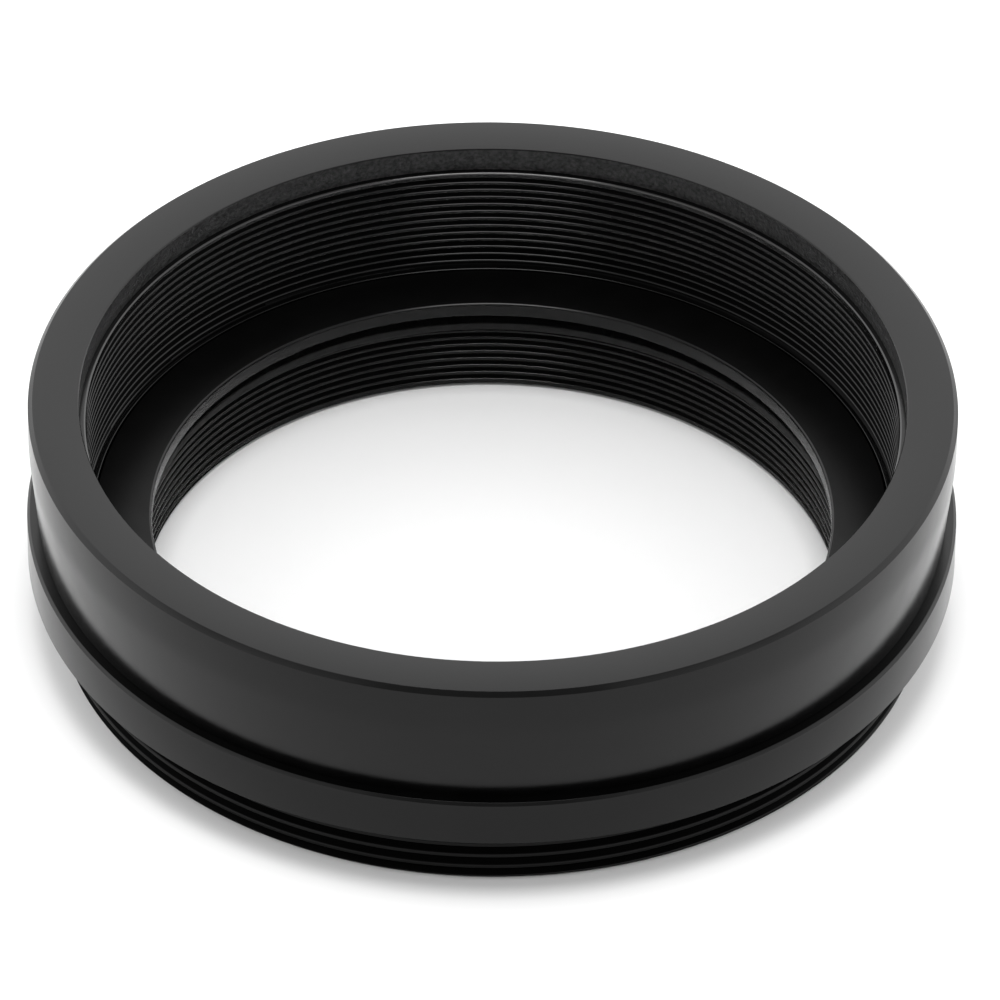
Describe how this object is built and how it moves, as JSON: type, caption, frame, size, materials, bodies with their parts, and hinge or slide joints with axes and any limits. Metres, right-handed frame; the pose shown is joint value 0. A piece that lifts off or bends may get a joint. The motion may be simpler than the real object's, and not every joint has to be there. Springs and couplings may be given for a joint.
{
  "type": "barlow lens",
  "caption": "Low flanged barlow ring: threaded push-fit barrel over a lens cell with a clamped clear element and a filter-thread nose.",
  "frame": {"origin": "centre of the nose's resting face, on the optical axis", "axes": "+Z along the optical axis, towards the barrel's open mouth"},
  "size_m": [0.0512, 0.0512, 0.0142],
  "materials": {
    "cell_anodised": "black anodised, satin",
    "barrel_anodised": "black anodised, satin, blasted counterbore",
    "ring_anodised": "black anodised, satin",
    "lens_glass": "polished, clear, anti-reflection coated",
    "washer_rubber": "matt black"
  },
  "bodies": {
    "cell": {"mount_ring": "cell_anodised", "seat_washer": "washer_rubber"},
    "barrel": {"barrel": "barrel_anodised"},
    "lens": {"lens": "lens_glass"},
    "ring": {"retaining_ring": "ring_anodised"}
  },
  "joints": [
    {"name": "barrel_unscrew", "type": "slide", "parent": "cell", "child": "barrel", "axis": [0, 0, 1], "range_m": [0, 0.006]},
    {"name": "lens_lift", "type": "slide", "parent": "cell", "child": "lens", "axis": [0, 0, 1], "range_m": [0, 0.01]},
    {"name": "ring_unscrew", "type": "hinge", "parent": "lens", "child": "ring", "pos_m": [0, 0, 0.006], "axis": [0, 0, 1], "range_deg": [0, 7200]}
  ],
  "couplings": [
    {"joint": "lens_lift", "follows": "ring_unscrew", "m_per_rad": 0.000079577}
  ]
}
